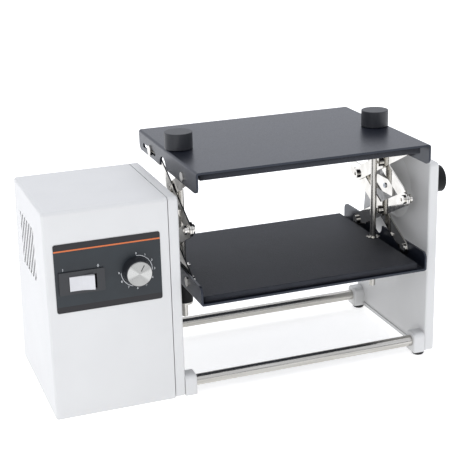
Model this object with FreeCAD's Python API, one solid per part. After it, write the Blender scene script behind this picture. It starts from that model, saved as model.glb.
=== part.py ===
import FreeCAD, Part
import math
import os

os.makedirs("parts", exist_ok=True)

# Overhead (end over end) laboratory shaker.
# +X runs along the rotor axis from the motor housing to the free cheek, +Y to the rear, +Z up.
# The pieces are drawn with x = 0 at mid length of the body, at table level and below the rotor axis.
# Each is then moved along X, so that the origin is the bottom centre of the whole shaker.  Millimetres.

# ---- overall body -------------------------------------------------------------------------
LEFT_X = -280.0            # left face of the motor housing
RIGHT_X = 280.0            # outer face of the right cheek
FRONT_Y = -101.0           # upright front faces
REAR_TOP_Y = 86.0          # the rear wall leans: shallower at the top
REAR_BOTTOM_Y = 127.0
FOOT_H = 6.5               # underside of the body above the table
TOP_Z = 291.0
REAR_LEAN = math.degrees(math.atan((REAR_BOTTOM_Y - REAR_TOP_Y) / (TOP_Z - FOOT_H)))
COVER_END_X = -116.0       # right end of the housing cover
CHEEK_L_OUT = -115.0       # 1 mm shadow gap between cover and cheek
CHEEK_L_IN = -101.0
CHEEK_R_IN = 266.0
AXIS_Z = 235.2             # rotor axis above the table
MID_X = (CHEEK_L_IN + CHEEK_R_IN) / 2.0
COVER_T = 1.5              # cover sheet
CHEEK_T = 3.0              # cheek casting wall
EDGE_R = 5.0               # rounding of the cover edges
CHEEK_R = 3.0

# ---- rotor stack, measured from the middle of the rotor outwards (u) ------------------------
FLANGE_U = (165.0, 168.0)       # upper plate
LOWER_FLANGE_U = (163.5, 166.5)
REAR_LINK_U = (160.9, 162.9)
FRONT_LINK_U = (158.3, 160.3)
HEAD_U = (154.7, 158.0)
HUB_U = (167.4, 170.4)
TAIL_END_U = 170.3
SLOT_TAIL = 2.3                 # slot pins stand this far out of the flange
BOSS_FACE_U = 172.0
CHEEK_U = CHEEK_R_IN - MID_X

# ---- scissor --------------------------------------------------------------------------------
PIVOT_Y = 74.0             # middle pivots in front of and behind the axis
PIVOT_Z = 36.8             # crossing pivots above and below the axis
LINK_W = 20.0
PIN_R = 3.0
HOLE_R = 3.05
HEAD_R = 6.5
FLANGE_PIN_Z = 2.0 * PIVOT_Z

# ---- clamping plates ------------------------------------------------------------------------
PLATE_HALF_D = 130.0
PLATE_T = 3.0
UPPER_OUT = 92.2           # outer faces of the plates from the rotor axis
LOWER_OUT = 89.7
UPPER_FLANGE_H = 28.5
LOWER_FLANGE_H = 26.5
FLANGE_CORNER_R = 9.0
BEND_R = 3.6
PAD_T = 9.0
PAD_HALF_L = 153.7
PAD_HALF_D = 125.6
PAD_TAB_U = 161.5          # left end of the front tab, beside the flange
PAD_TAB_Y = -86.0          # the tab stops in front of the link ends
PAD_NOTCH_R = 7.6
UPPER_SLOT_Y = (51.8, 107.3)
LOWER_SLOT_Y = (57.0, 94.0)
SLOT_HALF_W = 3.1
NOTCH_Y = 15.0
NOTCH_HALF_W = 14.0
NOTCH_DEPTH = 15.0

# ---- guide rods and knobs -------------------------------------------------------------------
ROD_U = 148.6
ROD_R = 4.5
ROD_HOLE_R = 4.57
ROD_BOTTOM = -154.8
KNOB_R = 20.0              # hand knob on the tail shaft
LOCK_KNOB_R = 19.4         # lock knobs on the guide rods
KNOB_H = 23.2
KNOB_GAP = 0.4
SLEEVE_R = 12.0
SLEEVE_BOTTOM = -131.5
RING_H = 3.2
WASHER_R = 10.0
BUSH_R = 6.2
WASHER_T = 0.9
WASHER_GAP = 0.05          # star washer above the mat

# ---- cross tubes, lugs and feet --------------------------------------------------------------
TUBE_R = 8.0
TUBE_Z = 22.3
TUBE_FRONT_Y = -88.5
TUBE_REAR_Y = 108.5
LUG_LEN = 17.0
LIP_T = 1.6                # low rim along the bottom of each cheek's inner face
LIP_H = 5.0
BOLT_SEAT = 6.5            # tube bolts bear this far behind the cheek's inner face
LUG_HALF_D = 12.5
LUG_TOP = 36.0
FOOT_R = 9.5
FOOT_RIGHT_X = 262.0
FOOT_LEFT_X = -248.0
FOOT_LEFT_Y = (-62.0, 84.0)

# ---- control foil, rocker and dial ------------------------------------------------------------
FOIL_X = (-268.5, -128.0)
FOIL_Z = (155.2, 248.2)
FOIL_T = 0.6
SWITCH_X = (-264.0, -204.0)
SWITCH_Z = (179.8, 210.4)
SWITCH_FRAME_T = 2.0
ROCKER_X = (-250.6, -215.0)
ROCKER_Z = (184.4, 203.6)
ROCKER_TILT = 9.0          # pressed at its left end
ROCKER_MID_X = (ROCKER_X[0] + ROCKER_X[1]) / 2.0
ROCKER_MID_Z = (ROCKER_Z[0] + ROCKER_Z[1]) / 2.0
ROCKER_PIVOT_Y = FRONT_Y + 5.0
DIAL_X = -161.1
DIAL_Z = 198.6
DIAL_R = 19.5
DIAL_CAP_R = 16.6
DIAL_H = 14.0

# ---- drive ------------------------------------------------------------------------------------
SHAFT_R = 10.0
SHAFT_HOLE_R = 10.05
BEARING_R = 16.0
BEARING_W = 10.0
HAND_KNOB_END = 341.6
ROTOR_PULLEY_R = 36.0
MOTOR_PULLEY_R = 12.0
PULLEY_W = 12.0
PULLEY_X = (-150.0, -150.0 + PULLEY_W)
MOTOR_AXIS_Z = 128.0
BELT_T = 2.0
ORIGIN_X = (LEFT_X + HAND_KNOB_END) / 2.0
INLET_X = -198.0           # appliance inlet on the rear wall
INLET_Z = 60.0
V = FreeCAD.Vector


def save(node, shapes):
    """Write one node; a list of shapes becomes a group of solids."""
    if isinstance(shapes, list):
        shape = Part.makeCompound(shapes)
    else:
        shape = shapes
    shape.translate(V(-ORIGIN_X, 0.0, 0.0))
    shape.exportStep("parts/" + node + ".step")


def box(x0, x1, y0, y1, z0, z1):
    return Part.makeBox(x1 - x0, y1 - y0, z1 - z0, V(x0, y0, z0))


def x_rod(x0, x1, y, z, r):
    """Cylinder along X between two x values."""
    return Part.makeCylinder(r, abs(x1 - x0), V(min(x0, x1), y, z), V(1, 0, 0))


def y_rod(x, y0, y1, z, r):
    return Part.makeCylinder(r, y1 - y0, V(x, y0, z), V(0, 1, 0))


def z_rod(x, y, z0, z1, r):
    return Part.makeCylinder(r, z1 - z0, V(x, y, z0), V(0, 0, 1))


def x_prism(points, x0, x1):
    """Prism along X from (y, z) corner points."""
    corners = [V(x0, y, z) for y, z in points]
    wire = Part.makePolygon(corners + [corners[0]])
    return Part.Face(wire).extrude(V(x1 - x0, 0, 0))


def edges_where(shape, test):
    return [e for e in shape.Edges if test(e)]


def along(edge, axis):
    """True when a straight edge runs along the given axis index."""
    if len(edge.Vertexes) != 2:
        return False
    d = edge.Vertexes[1].Point - edge.Vertexes[0].Point
    comp = [abs(d.x), abs(d.y), abs(d.z)]
    return comp[axis] > 0.999 * d.Length


def side_profile(inset, z_bottom=FOOT_H):
    """Side view of the body, front upright, rear leaning, drawn in by an inset."""
    lean = (REAR_BOTTOM_Y - REAR_TOP_Y) / (TOP_Z - FOOT_H)
    z0 = z_bottom
    z1 = TOP_Z - inset
    rear0 = REAR_BOTTOM_Y - lean * (z0 - FOOT_H) - inset * math.hypot(1.0, lean)
    rear1 = REAR_BOTTOM_Y - lean * (z1 - FOOT_H) - inset * math.hypot(1.0, lean)
    return [(FRONT_Y + inset, z0), (FRONT_Y + inset, z1), (rear1, z1), (rear0, z0)]


def ux(side, u):
    """x of a place u outwards from the rotor middle, side -1 left or +1 right."""
    return MID_X + side * u


def disc(side, u0, u1, y, dz, r):
    """Cylinder along X in rotor terms; dz is measured from the axis."""
    return x_rod(ux(side, u0), ux(side, u1), y, AXIS_Z + dz, r)


def fuse_all(shapes):
    out = shapes[0]
    for s in shapes[1:]:
        out = out.fuse(s)
    return out.removeSplitter()


# ---- motor housing cover ------------------------------------------------------------------------
def housing_cover():
    outer = x_prism(side_profile(0.0), LEFT_X, COVER_END_X)
    long_edges = edges_where(outer, lambda e: along(e, 0) and e.CenterOfMass.z > FOOT_H + 1.0)
    outer = outer.makeFillet(EDGE_R, long_edges)
    left_rim = edges_where(outer, lambda e: abs(e.BoundBox.XMax - LEFT_X) < 0.01
                           and e.BoundBox.ZMax > FOOT_H + 1.0)
    outer = outer.makeFillet(EDGE_R - 1.0, left_rim)
    inner = x_prism(side_profile(COVER_T, FOOT_H - 5.0), LEFT_X + COVER_T, COVER_END_X + 5.0)
    inner_edges = edges_where(inner, lambda e: along(e, 0) and e.CenterOfMass.z > 50.0)
    inner = inner.makeFillet(EDGE_R - COVER_T, inner_edges)
    shell = outer.cut(inner)
    # oblique cooling slots in the left wall, trimmed to one field
    field = box(LEFT_X - 5.0, LEFT_X + 5.0, -36.0, 54.0, 177.5, 251.5)
    slots = []
    pitch = 15.0
    slot_w = 7.6
    lean = 0.8
    height = 100.0
    for i in range(-4, 9):
        y = -40.0 + i * pitch
        z0 = 165.0
        bar = x_prism([(y + lean * height, z0), (y, z0 + height),
                       (y + slot_w, z0 + height), (y + slot_w + lean * height, z0)],
                      LEFT_X - 2.0, LEFT_X + 4.0)
        piece = bar.common(field)
        if piece.Volume > 60.0:
            slots.append(piece)
    shell = shell.cut(Part.makeCompound(slots))
    # small air notches in the lower edge of the left wall
    for i in range(8):
        y = -18.0 + i * 11.0
        shell = shell.cut(box(LEFT_X - 2.0, LEFT_X + 4.0, y, y + 5.0, FOOT_H - 1.0, FOOT_H + 2.6))
    # openings for the switch body and the dial spindle in the front wall
    shell = shell.cut(box(SWITCH_X[0] + 6.0, SWITCH_X[1] - 6.0, FRONT_Y - 1.0, FRONT_Y + 4.0,
                          SWITCH_Z[0] + 2.5, SWITCH_Z[1] - 2.5))
    shell = shell.cut(y_rod(DIAL_X, FRONT_Y - 1.0, FRONT_Y + 4.0, DIAL_Z, 5.0))
    # opening for the appliance inlet in the rear wall
    shell = shell.cut(box(INLET_X - 14.0, INLET_X + 14.0, 100.0, 140.0, INLET_Z - 10.0, INLET_Z + 10.0))
    return shell




def rear_y(z):
    """Rear wall position at a height."""
    return REAR_BOTTOM_Y - (REAR_BOTTOM_Y - REAR_TOP_Y) * (z - FOOT_H) / (TOP_Z - FOOT_H)


def base_plate():
    pts = side_profile(COVER_T + 0.2)
    front = pts[0][0]
    rear = rear_y(FOOT_H + 3.0) - COVER_T - 0.6
    plate = box(LEFT_X + COVER_T + 0.2, COVER_END_X, front, rear, FOOT_H, FOOT_H + 2.5)
    for i in range(8):
        y = -30.0 + i * 12.0
        plate = plate.cut(box(-220.0, -160.0, y, y + 5.0, FOOT_H - 1.0, FOOT_H + 4.0))
    return plate


# ---- cheeks ---------------------------------------------------------------------------------------
def lug(side, y):
    """Block on the inner face that carries one end of a cross tube."""
    x_in = ux(side, CHEEK_U)
    x_end = x_in - side * LUG_LEN
    x0 = min(x_in, x_end)
    x1 = max(x_in, x_end)
    block = box(x0, x1, y - LUG_HALF_D, y + LUG_HALF_D, FOOT_H, LUG_TOP)
    top = edges_where(block, lambda e: along(e, 0) and e.CenterOfMass.z > LUG_TOP - 1.0)
    block = block.makeFillet(7.0, top)
    end = edges_where(block, lambda e: abs(e.BoundBox.XMax - x_end) < 0.01
                      and abs(e.BoundBox.XMin - x_end) < 0.01 and e.BoundBox.ZMax > FOOT_H + 1.0)
    return block.makeFillet(2.5, end)


def cheek(side):
    """Hollow side frame with the cone round the axis on its inner face."""
    x_in = ux(side, CHEEK_U)
    x_out = x_in + side * 14.0
    x0 = min(x_in, x_out)
    x1 = max(x_in, x_out)
    outer = x_prism(side_profile(0.0), x0, x1)
    outer = outer.makeFillet(EDGE_R, edges_where(outer, lambda e: along(e, 0)))
    inner_rim = edges_where(outer, lambda e: abs(e.BoundBox.XMax - x_in) < 0.01
                            and abs(e.BoundBox.XMin - x_in) < 0.01)
    outer = outer.makeFillet(CHEEK_R, inner_rim)
    cav0 = x_in + side * CHEEK_T
    cav1 = x_out + side * 1.0
    cavity = x_prism(side_profile(CHEEK_T, FOOT_H + CHEEK_T), min(cav0, cav1), max(cav0, cav1))
    body = outer.cut(cavity)
    # cone round the axis, blended into the face
    tip = ux(side, BOSS_FACE_U)
    profile = [V(tip, 0, AXIS_Z), V(tip, 0, AXIS_Z + 22.0), V(x_in - side * 3.0, 0, AXIS_Z + 42.0),
               V(x_in, 0, AXIS_Z + 49.0), V(x_in + side * 2.0, 0, AXIS_Z + 49.0),
               V(x_in + side * 2.0, 0, AXIS_Z)]
    cone = Part.Face(Part.makePolygon(profile + [profile[0]]))
    cone = cone.revolve(V(0, 0, AXIS_Z), V(1, 0, 0), 360.0)
    seat = x_rod(x_in + side * 2.0, x_in + side * 10.0, 0.0, AXIS_Z, 22.0)
    body = body.fuse(cone).fuse(seat)
    lip_x = sorted((x_in + side * 1.0, x_in - side * LIP_T))
    body = body.fuse(box(lip_x[0], lip_x[1], TUBE_FRONT_Y, TUBE_REAR_Y, FOOT_H, FOOT_H + LIP_H))
    for y in (TUBE_FRONT_Y, TUBE_REAR_Y):
        body = body.fuse(lug(side, y))
        body = body.fuse(x_rod(x_in + side * 2.0, x_in + side * BOLT_SEAT, y, TUBE_Z, 8.5))
    for y, z in cover_screw_places():
        body = body.fuse(x_rod(x_in + side * 2.0, x_in + side * 11.0, y, z, 5.0))
    body = body.removeSplitter()
    # bearing seat and shaft passage
    seat_in = ux(side, BOSS_FACE_U + 4.5)
    body = body.cut(x_rod(seat_in, x_in + side * 12.0, 0.0, AXIS_Z, BEARING_R))
    body = body.cut(x_rod(tip - side * 1.0, seat_in, 0.0, AXIS_Z, 12.5))
    # tube sockets and the bolt holes behind them
    for y in (TUBE_FRONT_Y, TUBE_REAR_Y):
        socket_end = x_in - side * 2.0
        body = body.cut(x_rod(x_in - side * (LUG_LEN + 1.0), socket_end, y, TUBE_Z, TUBE_R))
        body = body.cut(x_rod(socket_end, x_in + side * 10.0, y, TUBE_Z, 3.0))
    for y, z in cover_screw_places():
        body = body.cut(x_rod(x_in + side * 4.0, x_in + side * 12.0, y, z, 1.5))
    return body


def cover_screw_places():
    return [(FRONT_Y + 12.0, TOP_Z - 14.0), (REAR_TOP_Y - 14.0, TOP_Z - 14.0),
            (FRONT_Y + 12.0, 62.0), (REAR_BOTTOM_Y - 24.0, 62.0)]


def right_cover():
    """Flat closing plate in the outer side of the right cheek."""
    plate = x_prism(side_profile(CHEEK_T + 0.3, FOOT_H + CHEEK_T + 0.3), RIGHT_X - 3.0, RIGHT_X)
    plate = plate.cut(x_rod(RIGHT_X - 5.0, RIGHT_X + 1.0, 0.0, AXIS_Z, 13.0))
    for y, z in cover_screw_places():
        plate = plate.cut(x_rod(RIGHT_X - 5.0, RIGHT_X + 1.0, y, z, 1.7))
    return plate


def screw(side, x_face, y, z, head_r, head_h, shank_r, shank_len):
    """Button screw along X; its head stands on x_face towards side."""
    head = x_rod(x_face, x_face + side * head_h, y, z, head_r)
    shank = x_rod(x_face - side * shank_len, x_face, y, z, shank_r)
    socket = x_rod(x_face + side * head_h * 0.4, x_face + side * (head_h + 1.0), y, z, head_r * 0.4)
    return head.fuse(shank).removeSplitter().cut(socket)


def cover_screws():
    return [screw(1, RIGHT_X, y, z, 3.6, 2.0, 1.5, 6.0) for y, z in cover_screw_places()]


def tube_bolts():
    out = []
    for side in (-1, 1):
        x_face = ux(side, CHEEK_U) + side * BOLT_SEAT
        for y in (TUBE_FRONT_Y, TUBE_REAR_Y):
            out.append(screw(side, x_face, y, TUBE_Z, 5.0, 3.0, 3.0, 21.5))
    return out


def cross_tubes():
    out = []
    x0 = CHEEK_L_IN + 2.0
    x1 = CHEEK_R_IN - 2.0
    for y in (TUBE_FRONT_Y, TUBE_REAR_Y):
        tube = x_rod(x0, x1, y, TUBE_Z, TUBE_R)
        tube = tube.cut(x_rod(x0 - 1.0, x0 + 14.0, y, TUBE_Z, 3.0))
        tube = tube.cut(x_rod(x1 - 14.0, x1 + 1.0, y, TUBE_Z, 3.0))
        out.append(tube)
    return out


def feet():
    places = [(FOOT_RIGHT_X, TUBE_FRONT_Y), (FOOT_RIGHT_X, TUBE_REAR_Y)]
    places += [(FOOT_LEFT_X, y) for y in FOOT_LEFT_Y]
    out = []
    for x, y in places:
        foot = Part.makeCone(FOOT_R - 2.0, FOOT_R, 2.5, V(x, y, 0.0))
        foot = foot.fuse(z_rod(x, y, 2.5, FOOT_H, FOOT_R)).removeSplitter()
        out.append(foot)
    return out


# ---- controls -----------------------------------------------------------------------------------------
def control_foil():
    foil = box(FOIL_X[0], FOIL_X[1], FRONT_Y - FOIL_T, FRONT_Y, FOIL_Z[0], FOIL_Z[1])
    foil = foil.makeFillet(3.0, edges_where(foil, lambda e: along(e, 1)))
    foil = foil.cut(box(SWITCH_X[0] + 6.0, SWITCH_X[1] - 6.0, FRONT_Y - 2.0, FRONT_Y + 1.0,
                        SWITCH_Z[0] + 2.5, SWITCH_Z[1] - 2.5))
    return foil.cut(y_rod(DIAL_X, FRONT_Y - 2.0, FRONT_Y + 1.0, DIAL_Z, 5.0))




def switch_frame():
    """Black switch bezel with its body behind the front wall."""
    y_face = FRONT_Y - FOIL_T - SWITCH_FRAME_T
    y_back = FRONT_Y - FOIL_T
    rim = box(SWITCH_X[0], SWITCH_X[1], y_face, y_back, SWITCH_Z[0], SWITCH_Z[1])
    rim = rim.makeFillet(1.5, edges_where(rim, lambda e: along(e, 1)))
    body = box(SWITCH_X[0] + 6.0, SWITCH_X[1] - 6.0, y_back, FRONT_Y + 20.0,
               SWITCH_Z[0] + 2.5, SWITCH_Z[1] - 2.5)
    whole = rim.fuse(body).removeSplitter()
    gap = 0.35
    whole = whole.cut(box(ROCKER_X[0] - gap, ROCKER_X[1] + gap, y_face - 1.0, FRONT_Y + 14.0,
                          ROCKER_Z[0] - gap, ROCKER_Z[1] + gap))
    pin = z_rod(ROCKER_MID_X, ROCKER_PIVOT_Y, SWITCH_Z[0] + 3.5, SWITCH_Z[1] - 3.5, 1.5)
    return whole.cut(pin)


def rocker():
    """Rocker paddle, drawn level and then tipped to its pressed side."""
    half = (ROCKER_X[1] - ROCKER_X[0]) / 2.0
    r_face = 3.2
    y_face = FRONT_Y - FOIL_T - SWITCH_FRAME_T - r_face
    z0 = ROCKER_Z[0]
    z1 = ROCKER_Z[1]
    pts = [(-half + 1.7, y_face), (0.0, y_face + 1.8), (half - 1.7, y_face),
           (half - 2.2, ROCKER_PIVOT_Y - 3.0), (3.0, ROCKER_PIVOT_Y + 4.0),
           (-3.0, ROCKER_PIVOT_Y + 4.0), (-half + 2.2, ROCKER_PIVOT_Y - 3.0)]
    corners = [V(ROCKER_MID_X + x, y, z0) for x, y in pts]
    body = Part.Face(Part.makePolygon(corners + [corners[0]])).extrude(V(0, 0, z1 - z0))
    body = body.fuse(z_rod(ROCKER_MID_X, ROCKER_PIVOT_Y, z0 - 2.0 + 1.2, z1 + 2.0 - 1.2, 1.45))
    body = body.removeSplitter()
    body.rotate(V(ROCKER_MID_X, ROCKER_PIVOT_Y, 0), V(0, 0, 1), -ROCKER_TILT)
    return body


def dial_skirt():
    """Black skirted body of the dial with its spindle."""
    y_back = FRONT_Y - FOIL_T - 0.5
    skirt = Part.makeCone(DIAL_CAP_R + 1.0, DIAL_R, DIAL_H - 1.0, V(DIAL_X, y_back - DIAL_H + 1.0, DIAL_Z),
                          V(0, 1, 0))
    skirt = skirt.cut(y_rod(DIAL_X, y_back - DIAL_H, y_back - DIAL_H + 2.5, DIAL_Z, DIAL_CAP_R))
    spindle = y_rod(DIAL_X, y_back - 2.0, FRONT_Y + 12.0, DIAL_Z, 3.0)
    return skirt.fuse(spindle).removeSplitter()


def dial_cap():
    """Spun aluminium face with an engraved pointer groove, pointing at the mark 1."""
    y_back = FRONT_Y - FOIL_T - 0.5
    y_seat = y_back - DIAL_H + 2.5
    cap = y_rod(DIAL_X, y_back - DIAL_H, y_seat, DIAL_Z, DIAL_CAP_R - 0.02)
    front_rim = edges_where(cap, lambda e: abs(e.BoundBox.YMax - (y_back - DIAL_H)) < 0.01
                            and e.BoundBox.XLength > 5.0)
    cap = cap.makeFillet(0.8, front_rim)
    groove = box(DIAL_X - 0.6, DIAL_X + 0.6, y_back - DIAL_H - 1.0, y_back - DIAL_H + 0.5,
                 DIAL_Z + 4.0, DIAL_Z + 13.0)
    groove.rotate(V(DIAL_X, 0, DIAL_Z), V(0, 1, 0), 30.0)
    return cap.cut(groove)


def speed_pot():
    y0 = FRONT_Y + COVER_T
    pot = y_rod(DIAL_X, y0, y0 + 10.0, DIAL_Z, 9.0)
    return pot.cut(y_rod(DIAL_X, y0 - 1.0, FRONT_Y + 13.0, DIAL_Z, 3.08))


def control_board():
    y0 = FRONT_Y + COVER_T + 22.0
    board = box(-262.0, -126.0, y0, y0 + 1.6, 150.0, 246.0)
    blocks = []
    for x, z, w, h, d in ((-250.0, 224.0, 26.0, 14.0, 12.0), (-206.0, 226.0, 18.0, 12.0, 9.0),
                          (-176.0, 160.0, 30.0, 16.0, 18.0), (-240.0, 156.0, 14.0, 14.0, 20.0)):
        blocks.append(box(x, x + w, y0 + 1.6, y0 + 1.6 + d, z, z + h))
    return fuse_all([board] + blocks)


def board_posts():
    y0 = FRONT_Y + COVER_T
    out = []
    for x in (-258.0, -130.0):
        for z in (153.0, 243.0):
            out.append(y_rod(x, y0, y0 + 22.0, z, 2.6))
    return out


def power_inlet():
    """Appliance inlet let into the leaning rear wall."""
    body = box(INLET_X - 13.7, INLET_X + 13.7, -22.0, 0.0, -9.7, 9.7)
    flange = box(INLET_X - 17.0, INLET_X + 17.0, 0.2, 3.0, -13.0, 13.0)
    inlet = body.fuse(flange).fuse(box(INLET_X - 13.7, INLET_X + 13.7, -1.0, 0.5, -9.7, 9.7))
    inlet = inlet.removeSplitter()
    inlet = inlet.cut(box(INLET_X - 11.5, INLET_X + 11.5, -15.0, 4.0, -7.5, 7.5))
    for dx, dz in ((-7.0, -1.6), (7.0, -1.6), (0.0, 2.4)):
        inlet = inlet.fuse(box(INLET_X + dx - 1.0, INLET_X + dx + 1.0, -16.0, -5.0, dz - 2.5, dz + 2.5))
    inlet.rotate(V(INLET_X, 0, 0), V(1, 0, 0), REAR_LEAN)
    inlet.translate(V(0, rear_y(INLET_Z), INLET_Z))
    return inlet


# ---- drive ------------------------------------------------------------------------------------------------


def bearings():
    out = []
    for side in (-1, 1):
        x0 = ux(side, BOSS_FACE_U + 4.5)
        ring = x_rod(x0, x0 + side * BEARING_W, 0.0, AXIS_Z, BEARING_R)
        out.append(ring.cut(x_rod(x0 - side, x0 + side * (BEARING_W + 1.0), 0.0, AXIS_Z, SHAFT_HOLE_R)))
    return out


def drive_shaft():
    x0 = PULLEY_X[0] - 6.0
    x1 = ux(-1, HUB_U[1])
    shaft = x_rod(x0, x1, 0.0, AXIS_Z, SHAFT_R)
    return shaft.cut(x_rod(x1 - 12.0, x1 + 1.0, 0.0, AXIS_Z, 3.0))


def tail_shaft():
    x0 = ux(1, HUB_U[1])
    shaft = x_rod(x0, RIGHT_X + 34.0, 0.0, AXIS_Z, SHAFT_R)
    return shaft.cut(x_rod(x0 - 1.0, x0 + 12.0, 0.0, AXIS_Z, 3.0))


def hand_knob():
    """Round knob on the outer end of the tail shaft, for turning the rotor by hand."""
    knob_x = HAND_KNOB_END - 30.0
    neck = x_rod(RIGHT_X + 4.0, knob_x, 0.0, AXIS_Z, 13.0)
    head = x_rod(knob_x, HAND_KNOB_END, 0.0, AXIS_Z, KNOB_R)
    rims = edges_where(head, lambda e: e.BoundBox.XLength < 0.01)
    head = head.makeFillet(1.2, rims)
    whole = neck.fuse(head).removeSplitter()
    return whole.cut(x_rod(RIGHT_X, RIGHT_X + 34.0, 0.0, AXIS_Z, SHAFT_R))


def hub_plates():
    out = []
    for side in (-1, 1):
        x0 = ux(side, HUB_U[0])
        x1 = ux(side, HUB_U[1])
        y0 = -22.5
        y1 = 116.0
        half = 11.0
        plate = box(min(x0, x1), max(x0, x1), y0, y1, AXIS_Z - half, AXIS_Z + half)
        rear = edges_where(plate, lambda e: along(e, 0) and e.CenterOfMass.y > 50.0)
        plate = plate.makeFillet(8.0, rear)
        front = edges_where(plate, lambda e: along(e, 0) and e.CenterOfMass.y < 0.0)
        plate = plate.makeFillet(2.5, front)
        for y, r in ((0.0, 3.0), (PIVOT_Y, PIN_R), (100.0, 2.2)):
            plate = plate.cut(x_rod(min(x0, x1) - 1.0, max(x0, x1) + 1.0, y, AXIS_Z, r))
        out.append(plate)
    return out


def hub_pins():
    """Shoulder pins of the two rear middle pivots."""
    out = []
    for side in (-1, 1):
        head = disc(side, HEAD_U[0], HEAD_U[1], PIVOT_Y, 0.0, HEAD_R)
        shank = disc(side, HEAD_U[1], HUB_U[1], PIVOT_Y, 0.0, PIN_R)
        spacer = disc(side, REAR_LINK_U[1] + 0.3, HUB_U[0], PIVOT_Y, 0.0, 5.0)
        pin = fuse_all([head, shank, spacer])
        out.append(pin.cut(disc(side, HEAD_U[0] - 1.0, HEAD_U[0] + 1.6, PIVOT_Y, 0.0, 2.6)))
    return out


def hub_screws():
    out = []
    for side in (-1, 1):
        x_face = ux(side, HUB_U[0])
        out.append(screw(-side, x_face, 0.0, AXIS_Z, 3.8, 1.6, 3.0, 14.0))
    return out


def pulley(x0, x1, z, r, bore):
    groove_r = r - 2.5
    core = x_rod(x0, x1, 0.0, z, groove_r)
    rim_a = x_rod(x0, x0 + 1.5, 0.0, z, r + 1.0)
    rim_b = x_rod(x1 - 1.5, x1, 0.0, z, r + 1.0)
    return fuse_all([core, rim_a, rim_b]).cut(x_rod(x0 - 1.0, x1 + 1.0, 0.0, z, bore))


def drive_belt():
    """Toothed belt as a plain loop round the two pulleys."""
    r1 = ROTOR_PULLEY_R - 2.2
    r2 = MOTOR_PULLEY_R - 2.2
    x0 = PULLEY_X[0] + 2.2
    x1 = PULLEY_X[1] - 2.2

    def loop(ra, rb):
        span = AXIS_Z - MOTOR_AXIS_Z
        s = (ra - rb) / span
        c = math.sqrt(1.0 - s * s)
        pts = [(ra * c, AXIS_Z + ra * s), (rb * c, MOTOR_AXIS_Z + rb * s),
               (-rb * c, MOTOR_AXIS_Z + rb * s), (-ra * c, AXIS_Z + ra * s)]
        return fuse_all([x_prism(pts, x0, x1), x_rod(x0, x1, 0.0, AXIS_Z, ra),
                         x_rod(x0, x1, 0.0, MOTOR_AXIS_Z, rb)])
    return loop(r1 + BELT_T, r2 + BELT_T).cut(loop(r1, r2))


def gear_motor():
    x0 = PULLEY_X[1] + 4.0
    gearbox = box(x0, x0 + 12.0, -32.0, 32.0, MOTOR_AXIS_Z - 32.0, MOTOR_AXIS_Z + 32.0)
    gearbox = gearbox.cut(x_rod(x0 - 1.0, x0 + 13.0, 0.0, MOTOR_AXIS_Z, 4.06))
    return gearbox


def motor_body():
    can = x_rod(-268.0, PULLEY_X[0] - 12.0, 0.0, MOTOR_AXIS_Z - 60.0, 28.0)
    foot = box(-262.0, PULLEY_X[0] - 16.0, -30.0, 30.0, FOOT_H + 2.5, MOTOR_AXIS_Z - 82.0)
    return can.fuse(foot).removeSplitter()


def motor_pulley():
    wheel = pulley(PULLEY_X[0], PULLEY_X[1], MOTOR_AXIS_Z, MOTOR_PULLEY_R, 4.0)
    shaft = x_rod(PULLEY_X[0] - 4.0, PULLEY_X[1] + 15.0, 0.0, MOTOR_AXIS_Z, 4.0)
    return wheel.fuse(shaft).removeSplitter()


# ---- scissor links -------------------------------------------------------------------------------------------
def bar(side, u, a, b, holes):
    """Flat link with round ends between two (y, dz) pivots, with its running holes."""
    r = LINK_W / 2.0
    x0 = min(ux(side, u[0]), ux(side, u[1]))
    x1 = max(ux(side, u[0]), ux(side, u[1]))
    length = math.hypot(b[0] - a[0], b[1] - a[1])
    angle = math.degrees(math.atan2(b[1] - a[1], b[0] - a[0]))
    core = Part.makeBox(x1 - x0, length, LINK_W, V(x0, 0.0, -r))
    core.rotate(V(0, 0, 0), V(1, 0, 0), angle)
    core.translate(V(0, a[0], AXIS_Z + a[1]))
    ends = [x_rod(x0, x1, y, AXIS_Z + z, r) for y, z in (a, b)]
    link = fuse_all([core] + ends)
    for y, z in holes:
        link = link.cut(x_rod(x0 - 1.0, x1 + 1.0, y, AXIS_Z + z, HOLE_R))
    return link


def socket(side, place):
    """Hexagon recess of a pin head."""
    x0 = ux(side, HEAD_U[0])
    x1 = ux(side, HEAD_U[0] + 1.8)
    pts = []
    for i in range(6):
        a = math.radians(60.0 * i + 15.0)
        pts.append((place[0] + 2.7 * math.cos(a), AXIS_Z + place[1] + 2.7 * math.sin(a)))
    return x_prism(pts, min(x0, x1) - 0.5, max(x0, x1))


REAR_MID = (PIVOT_Y, 0.0)
FRONT_MID = (-PIVOT_Y, 0.0)
CROSS_UP = (0.0, PIVOT_Z)
CROSS_DOWN = (0.0, -PIVOT_Z)
UP_FRONT = (-PIVOT_Y, FLANGE_PIN_Z)
UP_REAR = (PIVOT_Y, FLANGE_PIN_Z)
DOWN_FRONT = (-PIVOT_Y, -FLANGE_PIN_Z)
DOWN_REAR = (PIVOT_Y, -FLANGE_PIN_Z)


def cross_pin(side, place, tail):
    """Head, shank and riveted tail of a crossing pivot."""
    head = disc(side, HEAD_U[0], HEAD_U[1], place[0], place[1], HEAD_R)
    shank = disc(side, HEAD_U[1], tail, place[0], place[1], PIN_R)
    rivet = disc(side, REAR_LINK_U[1] + 0.3, tail, place[0], place[1], 5.5)
    return fuse_all([head, shank, rivet]).cut(socket(side, place))


def link_rise(side):
    """Front plane link from the rear middle pivot up to the front of the upper plate."""
    link = bar(side, FRONT_LINK_U, REAR_MID, UP_FRONT, [REAR_MID, UP_FRONT])
    pin = cross_pin(side, CROSS_UP, REAR_LINK_U[1] + 2.2)
    seat = disc(side, HEAD_U[1], FRONT_LINK_U[0], CROSS_UP[0], CROSS_UP[1], HEAD_R)
    return fuse_all([link, pin, seat])


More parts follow.
